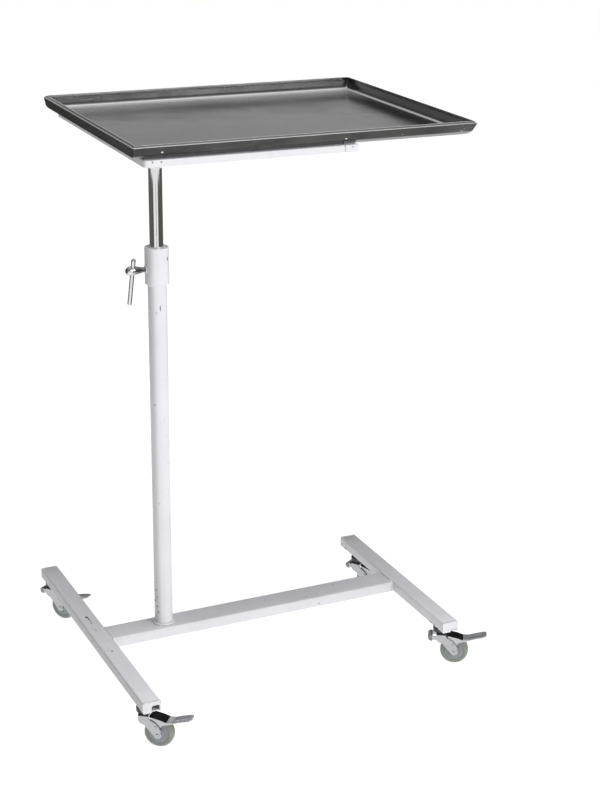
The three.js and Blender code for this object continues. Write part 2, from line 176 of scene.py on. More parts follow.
def lathe(profile, seg=96, closed=False, wob=0.0):
    """profile of [radius, height] points turned about Z; open profiles start and end on the axis"""
    v, f, rings = [], [], []
    for r, z in profile:
        if r < 1e-6:
            rings.append([len(v)])
            v.append((0, 0, z))
        else:
            rings.append(list(range(len(v), len(v) + seg)))
            for k in range(seg):
                a = 2 * PI * k / seg
                q = r + (wob * noise.noise(Vector((math.cos(a) * 2, math.sin(a) * 2, z * 0.1 + 7))) if wob else 0)
                v.append((q * math.cos(a), q * math.sin(a), z))
    n = len(rings)
    for i in range(n if closed else n - 1):
        A, B = rings[i], rings[(i + 1) % n]
        for k in range(seg):
            l = (k + 1) % seg
            if len(A) == 1 and len(B) == 1:
                continue
            if len(A) == 1:
                f.append((A[0], B[l], B[k]))
            elif len(B) == 1:
                f.append((A[k], A[l], B[0]))
            else:
                f.append((A[k], A[l], B[l], B[k]))
    return M().add(v, f)


def along(axis, at=(0, 0, 0), sign=1):
    """turns a Z lathe so that its +Z runs along the axis, then moves it"""
    def f(p):
        x, y, z = p
        z *= sign
        if axis == "x":
            q = (z, x, y) if sign > 0 else (z, -x, y)
        elif axis == "y":
            q = (y, z, x) if sign > 0 else (-y, z, x)
        else:
            q = (x, y, z)
        return (q[0] + at[0], q[1] + at[1], q[2] + at[2])
    return f


def rrect(w, h, r, n=7):
    out = []
    for cx, cy, a0 in ((w / 2 - r, h / 2 - r, 0), (-w / 2 + r, h / 2 - r, 90), (-w / 2 + r, -h / 2 + r, 180), (w / 2 - r, -h / 2 + r, 270)):
        for i in range(n + 1):
            a = math.radians(a0 + 90 * i / n)
            out.append((cx + r * math.cos(a), cy + r * math.sin(a)))
    return out


def tube(axis, a, b, c, z0, w, h, wall, r):
    """hollow rectangular tube from a to b, centred at c across, its underside at z0"""
    O, I = rrect(w, h, r), rrect(w - 2 * wall, h - 2 * wall, max(0.8, r - wall))
    n = len(O)
    cuts = [a, a + 0.35] + [a + (b - a) * k / 12 for k in range(1, 12)] + [b - 0.35, b]

    def at(p, t):
        return (c + p[0], t, z0 + h / 2 + p[1]) if axis == "y" else (t, c + p[0], z0 + h / 2 + p[1])
    v, f = [], []
    for i, t in enumerate(cuts):
        e = 0.35 if i in (0, len(cuts) - 1) else 0.0
        for p in O:
            L = math.hypot(*p)
            v.append(at((p[0] * (1 - e / L), p[1] * (1 - e / L)), t))
    for i in range(len(cuts) - 1):
        for k in range(n):
            l = (k + 1) % n
            f.append((i * n + k, i * n + l, (i + 1) * n + l, (i + 1) * n + k))
    k0 = len(v)
    for t in (a, b):
        for p in I:
            v.append(at(p, t))
    for k in range(n):
        l = (k + 1) % n
        f.append((k0 + k, k0 + l, k0 + n + l, k0 + n + k))
        f.append((k, l, k0 + l, k0 + k))
        e = (len(cuts) - 1) * n
        f.append((e + k, e + l, k0 + n + l, k0 + n + k))
    return M().add(v, f)


def slab(points, y0, y1, plane="xz"):
    """an outline spread from y0 to y1 (plane xz) or from z y0 to z y1 (plane xy)"""
    n = len(points)
    g = (lambda p, t: (p[0], t, p[1])) if plane == "xz" else (lambda p, t: (p[0], p[1], t))
    v = [g(p, y0) for p in points] + [g(p, y1) for p in points]
    f = [tuple(range(n)), tuple(range(2 * n - 1, n - 1, -1))]
    for k in range(n):
        l = (k + 1) % n
        f.append((k, l, n + l, n + k))
    return M().add(v, f)


def bead(path, r, closed=False, seed=0.0, squash=1.0, lump=0.28, step=2.3, n=10):
    """a weld run: a lumpy, rippled rod laid along a path"""
    pts = [Vector(p) for p in path]
    N = len(pts)
    v, f = [], []
    s = 0.0
    for i, p in enumerate(pts):
        a = pts[(i - 1) % N] if (closed or i) else p
        b = pts[(i + 1) % N] if (closed or i < N - 1) else p
        t = (b - a).normalized()
        up = Vector((0, 0, 1)) if abs(t.z) < 0.8 else Vector((1, 0, 0))
        u = t.cross(up).normalized()
        w = u.cross(t).normalized()
        if i:
            s += (p - pts[i - 1]).length
        rip = 1 + 0.1 * math.sin(2 * PI * s / step)
        end = 1.0 if closed else min(1.0, 0.25 + 0.75 * min(i, N - 1 - i) / 3)
        for k in range(n):
            q = 2 * PI * k / n
            e = r * rip * end * (1 + lump * noise.noise(Vector((p.x * 0.35 + math.cos(q), p.y * 0.35 + math.sin(q), p.z * 0.35 + seed))))
            d = u * (math.cos(q) * e) + w * (math.sin(q) * e * squash)
            v.append(tuple(p + d))
    m = N if closed else N - 1
    for i in range(m):
        for k in range(n):
            l = (k + 1) % n
            j = (i + 1) % N
            f.append((i * n + k, i * n + l, j * n + l, j * n + k))
    if not closed:
        f.append(tuple(range(n)))
        f.append(tuple(range((N - 1) * n + n - 1, (N - 1) * n - 1, -1)))
    return M().add(v, f)


def line(a, b, step=0.7):
    a, b = Vector(a), Vector(b)
    k = max(2, int((b - a).length / step))
    return [a.lerp(b, i / k) for i in range(k + 1)]


def arc(cx, cy, z, r, a0, a1, step=0.7):
    k = max(4, int(abs(a1 - a0) * r / step))
    return [(cx + r * math.cos(a0 + (a1 - a0) * i / k), cy + r * math.sin(a0 + (a1 - a0) * i / k), z) for i in range(k + 1)]


# ------------------------------------------------------------------ materials
class G:
    """a small helper for writing node materials"""

    def __init__(self, name, metallic=0.0, ior=1.5, spec=0.5, coat=0.0, coat_rough=0.1, aniso=0.0):
        self.m = bpy.data.materials.new(name)
        self.m.use_nodes = True
        self.t = self.m.node_tree
        self.t.nodes.clear()
        out = self.n("ShaderNodeOutputMaterial")
        self.b = self.n("ShaderNodeBsdfPrincipled")
        self.t.links.new(self.b.outputs["BSDF"], out.inputs["Surface"])
        self.co = self.n("ShaderNodeTexCoord").outputs["Object"]
        self.b.inputs["Metallic"].default_value = metallic
        self.b.inputs["IOR"].default_value = ior
        self.b.inputs["Specular IOR Level"].default_value = spec
        self.b.inputs["Coat Weight"].default_value = coat
        self.b.inputs["Coat Roughness"].default_value = coat_rough
        self.b.inputs["Anisotropic"].default_value = aniso

    def n(self, kind, **kw):
        x = self.t.nodes.new(kind)
        for k, v in kw.items():
            setattr(x, k, v)
        return x

    def put(self, sock, v):
        if isinstance(v, bpy.types.NodeSocket):
            self.t.links.new(v, sock)
        else:
            sock.default_value = v

    def set(self, name, v):
        self.put(self.b.inputs[name], v)

    def math(self, op, a, b=0.0, clamp=False):
        x = self.n("ShaderNodeMath", operation=op, use_clamp=clamp)
        self.put(x.inputs[0], a)
        self.put(x.inputs[1], b)
        return x.outputs[0]

    def map(self, scale=(1, 1, 1), loc=(0, 0, 0), rot=(0, 0, 0), vec=None):
        x = self.n("ShaderNodeMapping")
        self.put(x.inputs["Vector"], vec or self.co)
        x.inputs["Location"].default_value = loc
        x.inputs["Rotation"].default_value = rot
        x.inputs["Scale"].default_value = scale
        return x.outputs[0]

    def noise(self, scale, detail=4.0, rough=0.55, vec=None, dist=0.0):
        x = self.n("ShaderNodeTexNoise")
        self.put(x.inputs["Vector"], vec or self.co)
        x.inputs["Scale"].default_value = scale
        x.inputs["Detail"].default_value = detail
        x.inputs["Roughness"].default_value = rough
        x.inputs["Distortion"].default_value = dist
        return x.outputs["Fac"]

    def range(self, v, a, b, c=0.0, d=1.0, smooth=True):
        x = self.n("ShaderNodeMapRange", interpolation_type="SMOOTHSTEP" if smooth else "LINEAR", clamp=True) if not smooth else self.n("ShaderNodeMapRange", interpolation_type="SMOOTHSTEP")
        self.put(x.inputs["Value"], v)
        x.inputs["From Min"].default_value = a
        x.inputs["From Max"].default_value = b
        x.inputs["To Min"].default_value = c
        x.inputs["To Max"].default_value = d
        return x.outputs["Result"]

    def mix(self, fac, a, b, mode="MIX"):
        x = self.n("ShaderNodeMix", data_type="RGBA", blend_type=mode)
        self.put(x.inputs[0], fac)
        self.put(x.inputs[6], a if isinstance(a, bpy.types.NodeSocket) else (*a, 1.0))
        self.put(x.inputs[7], b if isinstance(b, bpy.types.NodeSocket) else (*b, 1.0))
        return x.outputs[2]

    def mixf(self, fac, a, b):
        x = self.n("ShaderNodeMix", data_type="FLOAT")
        self.put(x.inputs[0], fac)
        self.put(x.inputs[2], a)
        self.put(x.inputs[3], b)
        return x.outputs[0]

    def bump(self, h, dist, strength=1.0, normal=None):
        x = self.n("ShaderNodeBump")
        x.inputs["Strength"].default_value = strength
        x.inputs["Distance"].default_value = dist
        self.put(x.inputs["Height"], h)
        if normal:
            self.put(x.inputs["Normal"], normal)
        return x.outputs["Normal"]

    def marks(self, spots, put=place, warp=0.5):
        """union of soft ellipsoids at stated places: (centre mm, radii mm)"""
        nz = self.n("ShaderNodeTexNoise")
        self.put(nz.inputs["Vector"], self.co)
        nz.inputs["Scale"].default_value = 700
        off = self.n("ShaderNodeVectorMath", operation="SUBTRACT")
        self.put(off.inputs[0], nz.outputs["Color"])
        off.inputs[1].default_value = (0.5, 0.5, 0.5)
        sc = self.n("ShaderNodeVectorMath", operation="SCALE")
        self.put(sc.inputs[0], off.outputs[0])
        sc.inputs["Scale"].default_value = 0.0024 * warp
        ad = self.n("ShaderNodeVectorMath", operation="ADD")
        self.put(ad.inputs[0], self.co)
        self.put(ad.inputs[1], sc.outputs[0])
        acc = None
        for c, r in spots:
            s = self.n("ShaderNodeVectorMath", operation="SUBTRACT")
            self.put(s.inputs[0], ad.outputs[0])
            s.inputs[1].default_value = put(c)
            d = self.n("ShaderNodeVectorMath", operation="DIVIDE")
            self.put(d.inputs[0], s.outputs[0])
            d.inputs[1].default_value = [q * 0.001 for q in r]
            L = self.n("ShaderNodeVectorMath", operation="LENGTH")
            self.put(L.inputs[0], d.outputs[0])
            m = self.range(L.outputs["Value"], 1.15, 0.75)
            acc = m if acc is None else self.math("MAXIMUM", acc, m)
        return acc


def paint(name, dark=(), bright=(), grey=(), put=place, tint=(0.80, 0.79, 0.825), dirt=1.0, side=0.42):
    g = G(name, spec=0.5, coat=0.12, coat_rough=0.18)
    big = g.noise(9, 5, 0.6)
    mid = g.noise(60, 5, 0.65)
    fine = g.noise(420, 3, 0.6)
    col = g.mix(g.range(big, 0.3, 0.75), tint, tuple(c * 0.93 for c in tint))
    col = g.mix(g.math("MULTIPLY", g.range(mid, 0.56, 0.74), 0.26 * dirt), col, (0.52, 0.51, 0.53))
    # rubbed grey scuffs, stretched along the piece
    scuff = g.noise(55, 6, 0.7, vec=g.map((1.0, 1.0, 0.22)), dist=0.6)
    col = g.mix(g.math("MULTIPLY", g.range(scuff, 0.64, 0.74), 0.30 * dirt), col, (0.45, 0.44, 0.46))
    speck = g.noise(330, 2, 0.5)
    col = g.mix(g.math("MULTIPLY", g.range(speck, 0.74, 0.79), 0.55 * dirt), col, (0.22, 0.21, 0.21))
    # painted shade: faces whose normal turns towards -X are darkened towards grey, by the amount side
    pn = g.n("ShaderNodeSeparateXYZ")
    g.put(pn.inputs[0], g.n("ShaderNodeTexCoord").outputs["Normal"])
    col = g.mix(g.math("MULTIPLY", g.range(pn.outputs["X"], -0.45, -0.98), side), col, (0.30, 0.298, 0.305))
    rough = g.mixf(g.range(mid, 0.35, 0.7), 0.34, 0.46)
    peel = g.noise(520, 2, 0.45)
    h = g.math("MULTIPLY", peel, 0.35)
    if dark:
        md = g.marks(dark, put)
        col = g.mix(g.math("MULTIPLY", md, 0.92), col, (0.055, 0.05, 0.05))
        h = g.math("SUBTRACT", h, g.math("MULTIPLY", md, 1.4))
    if grey:
        mg = g.marks(grey, put)
        col = g.mix(g.math("MULTIPLY", mg, 0.55), col, (0.30, 0.29, 0.29))
    if bright:
        mb = g.marks(bright, put)
        col = g.mix(g.math("MULTIPLY", mb, 0.85), col, (0.86, 0.86, 0.87))
        h = g.math("ADD", h, g.math("MULTIPLY", mb, 1.1))
    g.set("Base Color", col)
    g.set("Roughness", rough)
    g.set("Normal", g.bump(h, 0.00022, 0.75, g.bump(g.noise(28, 3, 0.5), 0.0006, 0.35)))
    return g.m


def metal(name, base, rough=(0.1, 0.18), grain=(1, 1, 1), grain_scale=300, grain_h=0.00002, tone=0.14, wave=0.0002, aniso=0.0, speck=0.0, vec=None):
    g = G(name, metallic=1.0, ior=2.2, aniso=aniso)
    streak = g.noise(grain_scale, 5, 0.6, vec=g.map(grain))
    cloud = g.noise(34, 5, 0.6)
    col = g.mix(g.range(streak, 0.3, 0.7), base, tuple(c * (1 - tone) for c in base))
    col = g.mix(g.math("MULTIPLY", g.range(cloud, 0.55, 0.75), 0.35), col, tuple(c * 0.72 for c in base))
    if speck:
        sp = g.noise(480, 2, 0.5)
        col = g.mix(g.math("MULTIPLY", g.range(sp, 0.70, 0.77), speck), col, (0.12, 0.12, 0.12))
    g.set("Base Color", col)
    g.set("Roughness", g.mixf(g.range(g.noise(grain_scale * 0.4, 4, 0.6, vec=g.map(grain)), 0.3, 0.7), rough[0], rough[1]))
    g.set("Normal", g.bump(streak, grain_h, 1.0, g.bump(g.noise(26, 2, 0.5), wave, 0.6)))
    return g.m


def plastic(name, base, rough=0.5, var=0.12, scale=90):
    g = G(name, spec=0.45)
    a = g.noise(scale, 5, 0.6)
    b = g.noise(760, 3, 0.6)
    col = g.mix(g.range(a, 0.35, 0.7), base, tuple(c * (1 - var) for c in base))
    col = g.mix(g.math("MULTIPLY", g.range(b, 0.62, 0.75), 0.35), col, tuple(c * 0.6 for c in base))
    g.set("Base Color", col)
    g.set("Roughness", g.mixf(g.range(a, 0.3, 0.7), rough - 0.07, rough + 0.1))
    g.set("Normal", g.bump(b, 0.00008, 0.7))
    return g.m


POST_DARK = [((-1.3, -15.9, 684.2), (1.0, 2.2, 5.2)), ((-15.2, -4.6, 684.0), (1.4, 1.4, 2.6)), ((-15.3, -4.6, 160.5), (1.5, 1.8, 2.2)),
             ((-15.8, -2.3, 139.8), (1.6, 1.8, 2.6)), ((-14.7, -6.3, 129.6), (1.6, 1.7, 1.6)), ((-15.9, -1.0, 174.4), (1.4, 1.4, 1.8)),
             ((-14.3, -7.2, 147.5), (1.3, 1.5, 1.3)), ((-13.2, -9.0, 118.0), (1.4, 1.4, 2.0)), ((12.1, -10.4, 402.0), (1.1, 1.2, 1.4)),
             ((-12.0, -10.6, 512.0), (0.9, 0.9, 1.8))]
POST_GREY = [((-7.7, -14.0, 675.7), (1.1, 1.6, 3.4)), ((-8.5, -13.5, 330.0), (0.8, 1.2, 2.2))]
COLLAR_DARK = [((12.7, -15.9, 768.5), (1.7, 1.7, 3.2))]
FOOT_DARK = [((-122.6, 68.8, 94.5), (3.0, 3.4, 1.4)), ((-121.3, 61.0, 94.5), (1.2, 5.0, 1.4)), ((-121.2, 51.5, 94.5), (1.0, 4.0, 1.4)),
             ((-121.6, 43.1, 94.5), (1.5, 2.0, 1.4)), ((-122.6, -71.1, 94.5), (1.6, 2.2, 1.4)), ((-123.4, 13.2, 94.5), (1.2, 1.8, 1.2)),
             ((-137.0, -6.1, 86.0), (1.4, 2.2, 3.4)), ((-137.0, -202.2, 76.0), (1.4, 1.6, 1.2)), ((-137.0, 284.0, 77.4), (1.6, 4.4, 2.0)),
             ((-137.0, 271.0, 76.6), (1.6, 3.0, 1.6)), ((453.0, -171.9, 77.4), (1.4, 5.5, 1.8)), ((453.0, -183.2, 77.7), (1.4, 3.0, 1.8)),
             ((453.0, -196.0, 76.6), (1.4, 3.0, 1.4)), ((-106.0, 21.5, 92.5), (1.4, 3.0, 1.6)), ((-105.2, -23.2, 84.0), (1.4, 1.4, 5.5)),
             ((-105.2, -24.6, 75.5), (1.4, 1.6, 2.2)), ((453.0, 176.0, 77.5), (1.6, 6.0, 2.0))]
END_DARK = [((472.9, -218.8, 85.9), (1.8, 1.6, 2.6))]
BEAM_DARK = [((343.4, 9.3, 93.0), (0.9, 3.0, 1.2)), ((276.4, -13.5, 93.0), (3.2, 0.8, 1.2)), ((201.0, 4.2, 93.0), (1.6, 1.2, 1.2)),
             ((298.0, -24.9, 80.0), (2.4, 1.2, 0.9)), ((-106.0, -20.0, 92.4), (1.5, 3.0, 1.6))]
FRAME_DARK = [((-9.1, -14.2, 931.5), (1.3, 1.6, 1.5)), ((6.3, -14.2, 931.2), (1.3, 1.6, 1.5)), ((351.5, -14.6, 931.6), (1.2, 1.6, 1.2))]
FRAME_BRIGHT = [((-1.4, -14.2, 932.6), (5.6, 1.4, 0.9))]

P_POST = paint("paint_post", POST_DARK[:1] + POST_DARK[2:], grey=POST_GREY + POST_DARK[1:2])
P_COLLAR = paint("paint_collar", COLLAR_DARK)
# the two foot paints are one paint with different amounts of painted shade on their -X faces: heavy on the left
# foot, light on the right
P_FOOT_LEFT_HEAVY_SIDE_SHADE = paint("paint_foot_left_heavy_side_shade", FOOT_DARK, side=0.80)
P_FOOT_RIGHT_LIGHT_SIDE_SHADE = paint("paint_foot_right_light_side_shade", FOOT_DARK, side=0.36)
P_END = paint("paint_ends", END_DARK)
P_BEAM = paint("paint_beam", BEAM_DARK)
P_FRAME = paint("paint_frame", FRAME_DARK, FRAME_BRIGHT, put=place_top)
P_WELD = paint("paint_weld", tint=(0.84, 0.835, 0.86), dirt=1.1)
CHROME = metal("chrome_tube", (0.80, 0.80, 0.80), (0.06, 0.14), (1, 1, 0.02), 420, 0.000004, 0.10, 0.00003)


# painted reflection: the screw and tommy-bar chrome is darkened to near black on faces turned along the horizontal
# direction (0.904, -0.427, 0), the camera's right-hand direction, leaving a bright middle and dark sides
def chrome_painted_dark_sides():
    m_ = metal("chrome_screw", (0.72, 0.72, 0.725), (0.06, 0.12), (1, 1, 1), 260, 0.000004, 0.12, 0.00004)
    t_ = m_.node_tree
    b_ = [x for x in t_.nodes if x.type == "BSDF_PRINCIPLED"][0]
    src = b_.inputs["Base Color"].links[0].from_socket
    tc_ = t_.nodes.new("ShaderNodeTexCoord")
    dp = t_.nodes.new("ShaderNodeVectorMath")
    dp.operation = "DOT_PRODUCT"
    dp.inputs[1].default_value = (0.904, -0.427, 0.0)
    t_.links.new(tc_.outputs["Normal"], dp.inputs[0])
    ab = t_.nodes.new("ShaderNodeMath")
    ab.operation = "ABSOLUTE"
    t_.links.new(dp.outputs["Value"], ab.inputs[0])
    dark_side_mask = t_.nodes.new("ShaderNodeMapRange")
    dark_side_mask.interpolation_type = "SMOOTHSTEP"
    dark_side_mask.inputs["From Min"].default_value = 0.30
    dark_side_mask.inputs["From Max"].default_value = 0.72
    dark_side_mask.inputs["To Max"].default_value = 0.93
    t_.links.new(ab.outputs[0], dark_side_mask.inputs["Value"])
    mx = t_.nodes.new("ShaderNodeMix")
    mx.data_type = "RGBA"
    t_.links.new(dark_side_mask.outputs["Result"], mx.inputs[0])
    t_.links.new(src, mx.inputs[6])
    mx.inputs[7].default_value = (0.03, 0.03, 0.031, 1)
    t_.links.new(mx.outputs[2], b_.inputs["Base Color"])
    return m_


CHROME_DARK_SIDES = chrome_painted_dark_sides()
ZINC = metal("zinc_plate", (0.46, 0.465, 0.475), (0.20, 0.30), (1, 1, 1), 150, 0.000002, 0.07, 0.00003)
ZINC_B = metal("zinc_brake", (0.50, 0.515, 0.54), (0.16, 0.26), (1, 1, 1), 150, 0.000002, 0.08, 0.00004)
# painted shade: a near-black copy of the zinc plate for the castor stems and nuts, which sit in shade under the feet
ZINC_PAINTED_SHADE = metal("zinc_shaded", (0.075, 0.075, 0.08), (0.18, 0.30), (1, 1, 1), 150, 0.000004, 0.2, 0.00004, speck=0.2)
# painted shade: a darker copy of the brake zinc for the heel tabs, which sit in shade under the feet
HEEL_PAINTED_SHADE = metal("brake_heel", (0.20, 0.205, 0.215), (0.16, 0.26), (1, 1, 1), 150, 0.000003, 0.12, 0.00005)
# painted dark reflection: a near-black copy of the zinc steel for the brake cover and the fork web
COVER_PAINTED_DARK = metal("brake_cover", (0.050, 0.051, 0.055), (0.12, 0.24), (1, 1, 1), 150, 0.000003, 0.2, 0.00005)
for mat_, share in ((ZINC_B, 0.55), (HEEL_PAINTED_SHADE, 0.65)):
    for node_ in mat_.node_tree.nodes:
        if node_.type == "BSDF_PRINCIPLED":
            node_.inputs["Metallic"].default_value = share
TYRE = plastic("tyre_rubber", (0.262, 0.28, 0.235), 0.62, 0.10, 70)
HUB = plastic("hub_plastic", (0.30, 0.328, 0.35), 0.46, 0.12, 110)
NYLON = plastic("nylon_natural", (0.66, 0.65, 0.60), 0.48, 0.08)
BLACK = plastic("black_plug", (0.012, 0.012, 0.014), 0.42, 0.3)


# tray steel: satin, with brushing along its length, fingerprints and a few fine scratches; painted reflections,
# highlights and shade are laid into its colour below
def tray_steel():
    g = G("tray_stainless", metallic=1.0, ior=2.2, aniso=0.0)
    brush = g.noise(520, 4, 0.6, vec=g.map((0.035, 1.0, 1.0), rot=(0, 0, -TURN)))
    brush2 = g.noise(90, 5, 0.65, vec=g.map((0.12, 1.0, 1.0), rot=(0, 0, -TURN)))
    smear = g.noise(7.5, 5, 0.62, dist=0.8)
    haze = g.noise(26, 4, 0.6, dist=0.4)
    base = (0.24, 0.243, 0.245)
    # painted reflection: the sheet's colour is made lighter along the back and again towards the front, duller
    # between; metallic is also lowered on the lit back floor further down
    sep = g.n("ShaderNodeSeparateXYZ")
    g.put(sep.inputs[0], g.map((1, 1, 1), loc=(-MX, -MY, 0)))
    wav = g.math("MULTIPLY", g.math("SUBTRACT", g.noise(4.0, 3, 0.5), 0.5), 0.10)
    yy = g.math("ADD", sep.outputs["Y"], wav)
    back = g.range(yy, 0.33, 0.485)
    front = g.range(yy, 0.17, 0.0)
    nrm = g.n("ShaderNodeTexCoord").outputs["Normal"]
    ns = g.n("ShaderNodeSeparateXYZ")
    g.put(ns.inputs[0], nrm)
    flat = g.range(ns.outputs["Z"], 0.85, 0.97)
    col = g.mix(g.math("MULTIPLY", g.range(brush, 0.3, 0.7), flat), base, tuple(c * 0.92 for c in base))
    col = g.mix(g.math("MULTIPLY", g.math("MULTIPLY", g.range(brush2, 0.5, 0.8), 0.30), flat), col, tuple(c * 0.84 for c in base))
    col = g.mix(g.math("MULTIPLY", back, 0.85), col, (0.60, 0.60, 0.605))
    col = g.mix(g.math("MULTIPLY", front, 0.55), col, (0.42, 0.42, 0.42))
    col = g.mix(g.math("MULTIPLY", g.range(smear, 0.48, 0.75), 0.16), col, (0.36, 0.36, 0.362))
    # painted shade: the outer walls and underside, facing down, are coloured near black with a faint mottle
    bend_ = g.range(ns.outputs["Z"], -0.46, -0.60)
    under = g.math("MULTIPLY", g.range(ns.outputs["Z"], 0.0, -0.06), g.math("SUBTRACT", 1.0, g.math("MULTIPLY", bend_, 0.8)))
    underside_painted_shade = g.mix(g.range(g.noise(7, 4, 0.6, vec=g.map((1, 1, 3))), 0.35, 0.7), (0.085, 0.085, 0.082), (0.045, 0.045, 0.045))
    col = g.mix(under, col, underside_painted_shade)
    # painted dark reflection: leaning wall and hem faces are coloured near black
    leaning_dark_reflection = g.range(ns.outputs["Z"], 0.90, 0.45)
    up_ = g.range(ns.outputs["Z"], 0.02, 0.12)
    col = g.mix(g.math("MULTIPLY", g.math("MULTIPLY", leaning_dark_reflection, up_), 0.75), col, (0.09, 0.09, 0.092))
    # painted highlight: a bright band along the inner bends, with metallic lowered there too
    crease_painted_highlight = g.math("MULTIPLY", g.range(ns.outputs["Z"], 0.70, 0.82), g.range(ns.outputs["Z"], 0.992, 0.955))
    col = g.mix(g.math("MULTIPLY", crease_painted_highlight, 0.85), col, (0.80, 0.80, 0.80))
    g.set("Metallic", g.math("SUBTRACT", 1.0, g.math("MAXIMUM", g.math("MULTIPLY", crease_painted_highlight, 0.55), g.math("MULTIPLY", g.math("MULTIPLY", back, flat), 0.50))))
    scr = g.noise(36, 2, 0.4, vec=g.map((0.25, 6.0, 1.0), rot=(0, 0, 0.5)))
    line_ = g.range(g.math("ABSOLUTE", g.math("SUBTRACT", scr, 0.5)), 0.006, 0.0015)
    gate = g.range(g.noise(11, 2, 0.5), 0.56, 0.64)
    sc = g.math("MULTIPLY", g.math("MULTIPLY", line_, gate), 0.28)
    col = g.mix(sc, col, (0.72, 0.72, 0.72))
    # bright nicks with a raised bump on the walls, their near-white colour a painted highlight; dark dents with a
    # sunken bump beside them
    spots = [((8.9, -13.4, 946.0), (2.6, 3.2, 1.9)), ((447.5, -8.6, 946.0), (2.6, 3.4, 1.9)), ((563.2, -7.2, 948.0), (2.2, 3.6, 1.7)),
             ((339.9, -10.8, 945.5), (2.4, 3.4, 1.7))]
    mb = g.marks([(c, r) for c, r in spots], place_top, 0.6)
    dspots = [((354.4, -10.0, 947.0), (2.6, 3.6, 1.8)), ((175.3, -12.0, 944.0), (2.2, 3.4, 1.6)), ((13.2, -12.8, 944.6), (2.0, 3.2, 1.4)),
              ((451.5, -8.0, 944.8), (2.0, 3.4, 1.3))]
    mdk = g.marks([(c, r) for c, r in dspots], place_top, 0.6)
    col = g.mix(g.math("MULTIPLY", mb, 0.8), col, (0.9, 0.9, 0.9))
    col = g.mix(g.math("MULTIPLY", mdk, 0.85), col, (0.08, 0.08, 0.08))
    rough = g.mixf(g.range(smear, 0.3, 0.75), 0.15, 0.21)
    rough = g.math("ADD", rough, g.math("MULTIPLY", g.range(haze, 0.45, 0.75), 0.03))
    g.set("Base Color", col)
    g.set("Roughness", rough)
    nn = g.bump(g.noise(5.5, 1, 0.4), 0.0003, 0.3)
    nn = g.bump(g.math("MULTIPLY", g.math("ADD", brush, g.math("MULTIPLY", sc, -0.8)), flat), 0.0000016, 1.0, nn)
    g.set("Normal", g.bump(g.math("SUBTRACT", g.math("MULTIPLY", mb, 1.0), mdk), 0.0007, 0.8, nn))
    return g.m


TRAY_M = tray_steel()

# ------------------------------------------------------------------ base
obj("left_foot", tube("y", -264 + 3.3, 300 - 3.3, -121, 74.5, 32, 20, 2, 3.2), place, P_FOOT_LEFT_HEAVY_SIDE_SHADE, "base", ["left_foot_tube"])
obj("right_foot", tube("y", -216 + 3.3, 198 - 3.3, 469, 74.5, 32, 20, 2, 3.2), place, P_FOOT_RIGHT_LIGHT_SIDE_SHADE, "base", ["right_foot_tube"])
obj("beam", tube("x", -121 + 16.3, 469 - 16.3, -0.25, 73, 49.5, 20, 2, 3), place, P_BEAM, "base", ["cross_beam"])


def end_outline(cut_w, cut_h):
    e = 16 - 2.4
    pts = [(-16, -10), (e - cut_w, -10), (e - cut_w, -10 + cut_h), (e - 1.5, -10 + cut_h), (e, -11.5 + cut_h), (e, -10), (16, -10), (16, 10), (-16, 10)]
    rad = [3.2, 0.5, min(3.2, cut_h * 0.45), 0.3, 0.3, 0.5, 1.1, 3.2, 3.2]
    return fillet(pts, rad, 6)


for name, x, y, front, cw, ch in (("left_front_end_plate", -121, -264, True, 14, 12.5), ("left_rear_end_plate", -121, 300, False, 9, 5),
                                  ("right_front_end_plate", 469, -216, True, 13, 4.5), ("right_rear_end_plate", 469, 198, False, 9, 5)):
    o2 = slab(end_outline(cw, ch), 0.0, 3.0)
    if not front:
        o2.move(lambda p: (-p[0], -p[1], p[2]))
    o2.move(lambda p, x=x, y=y: (p[0] + x, p[1] + y, p[2] + 84.5))
    obj(name + "_v", o2, place, P_END, "base", [name], bevel=2.5, segs=6,
        pick=lambda co, y=y: abs(co.y - (MY + y * 0.001)) < 1e-5)

for name, x, y in (("left_side_plug", -105, -252), ("right_side_plug", 485, -204)):
    prof = [(0, -4), (4.4, -4), (4.4, 0.2), (5.4, 0.2)] + fillet([(5.4, 0.2), (5.4, 2.6), (3.6, 3.5), (0, 3.6)], 1.0, 5, False)[1:]
    obj(name + "_v", lathe(prof, 64).move(along("x", (x, y, 83.8))), place, BLACK, "base", [name])

# weld runs where the beam meets the feet
for i, (xx, sg) in enumerate(((-104.6, 1), (452.6, -1))):
    top = line((xx, 22.5, 93.4), (xx, -23.0, 93.4))
    fr = line((xx, -25.1, 91.0), (xx, -25.1, 74.8))
    bk = line((xx, 24.6, 75.5), (xx, 24.6, 91.5))
    un = line((xx, -23, 72.9), (xx, 22, 72.9))
    m = bead(top, 2.1 if sg < 0 else 1.05, seed=3.1 + i, squash=0.7)
    b2 = bead(fr, 1.35 if sg < 0 else 0.9, seed=5.3 + i, squash=0.9)
    m.add(b2.v, b2.f)
    b3 = bead(bk, 1.2, seed=7.7 + i)
    m.add(b3.v, b3.f)
    b4 = bead(un, 1.2, seed=9.2 + i, squash=0.55)
    m.add(b4.v, b4.f)
    obj("beam_weld_%s" % ("left" if sg > 0 else "right"), m, place, P_WELD, "base", sharp=60)
m = bead([(453.4 - 0.6 * abs(t) / 11, 0.2 + t, 94.1) for t in [q * 0.7 for q in range(-30, 31)]], 1.9, seed=2.2, squash=0.7)
obj("beam_weld_cap", m, place, P_WELD, "base", sharp=60)

